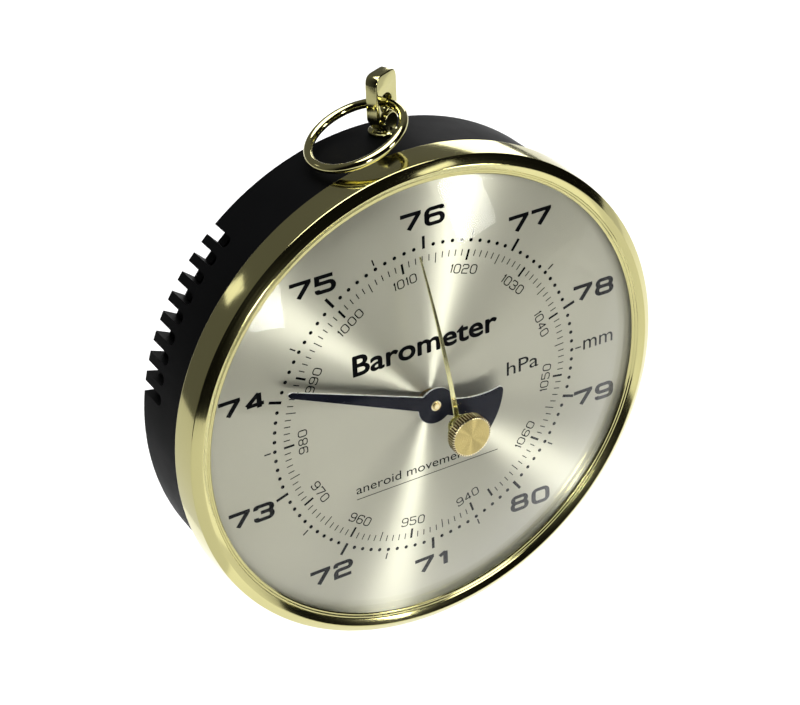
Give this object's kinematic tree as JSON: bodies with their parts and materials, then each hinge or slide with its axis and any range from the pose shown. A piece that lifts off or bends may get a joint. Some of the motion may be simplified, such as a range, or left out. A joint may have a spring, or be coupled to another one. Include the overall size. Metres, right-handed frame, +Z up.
{
  "type": "aneroid barometer",
  "caption": "Round wall barometer with a brass bezel, domed glass, set hand with a knob, black pointer, capsule movement and a hanging ring on a black case.",
  "frame": {"origin": "where the dial's axis meets the flat back of the case", "axes": "+X right and +Z up as the dial is read, +Y out of the back towards the wall, so the dial faces -Y"},
  "size_m": [0.1304, 0.0455, 0.1445],
  "materials": {
    "case": "satin moulded black plastic",
    "brass": "polished and lacquered",
    "glass": "clear domed",
    "dial": "circular brushed, warm silver, black print",
    "pointer": "matt black",
    "rubber": "matt",
    "movement": "satin",
    "steel": "satin",
    "capsule": "plain corrugated sheet"
  },
  "bodies": {
    "case": {"case_shell": "case", "bezel": "brass", "crystal": "glass", "crystal_gasket": "rubber", "dial_plate": "dial", "hanging_eye": "brass", "eye_nut": "steel", "hairspring": "steel", "rocker_post_left": "movement", "rocker_post_right": "movement", "capsule_back_disc": "capsule", "capsule_front_disc": "capsule", "capsule_stud": "steel", "base_plate": "movement", "case_screw_1": "steel", "case_screw_2": "steel", "case_screw_3": "steel", "gear_plate": "movement", "front_plate": "movement", "pillar_1": "movement", "pillar_nut_1": "steel", "pillar_2": "movement", "pillar_nut_2": "steel", "pillar_3": "movement", "pillar_nut_3": "steel", "spacer_1": "movement", "spacer_2": "movement", "spacer_3": "movement"},
    "set_hand_and_knob": {"set_knob": "brass", "knob_washer": "brass", "set_shaft": "brass", "inner_washer": "brass", "set_hand": "brass"},
    "pointer_assembly": {"pointer": "pointer", "pointer_pipe": "movement", "pinion_arbor": "movement", "hairspring_collet": "movement"},
    "sector": {"sector_gear": "movement", "sector_arbor": "steel"},
    "rocker": {"rocker_shaft": "steel", "drive_arm": "movement"},
    "capsule_centre": {"capsule_post": "steel"},
    "ring": {"hanging_ring": "brass"},
    "adjuster": {"adjusting_screw": "steel"}
  },
  "joints": [
    {"name": "set_hand_turn", "type": "hinge", "parent": "case", "child": "set_hand_and_knob", "pos_m": [0, -0.0417, 0], "axis": [0, 1, 0], "continuous": true},
    {"name": "sector_turn", "type": "hinge", "parent": "case", "child": "sector", "pos_m": [0.01778, -0.0207, -0.008], "axis": [0, 1, 0], "range_deg": [-18.37, 10.9]},
    {"name": "pointer_turn", "type": "hinge", "parent": "case", "child": "pointer_assembly", "pos_m": [0, -0.0289, 0], "axis": [0, 1, 0], "range_deg": [-130.8, 220.4]},
    {"name": "rocker_turn", "type": "hinge", "parent": "case", "child": "rocker", "pos_m": [0, -0.0162, -0.008], "axis": [1, 0, 0], "range_deg": [-18.37, 10.9]},
    {"name": "capsule_travel", "type": "slide", "parent": "case", "child": "capsule_centre", "axis": [0, -1, 0], "range_m": [-0.00103, 0.00061], "stiffness_N_per_m": 195},
    {"name": "ring_swing", "type": "hinge", "parent": "case", "child": "ring", "pos_m": [0, -0.0074, 0.0718], "axis": [-0.431, 0.882, -0.1904], "range_deg": [0, 180]},
    {"name": "adjusting_screw_turn", "type": "hinge", "parent": "case", "child": "adjuster", "pos_m": [0, -0.0016, -0.0048], "axis": [0, 1, 0], "range_deg": [-360, 360]}
  ],
  "couplings": [
    {"joint": "rocker_turn", "follows": "capsule_travel", "rad_per_m": 312.5},
    {"joint": "sector_turn", "follows": "capsule_travel", "rad_per_m": 312.5},
    {"joint": "pointer_turn", "follows": "capsule_travel", "rad_per_m": -3750}
  ]
}
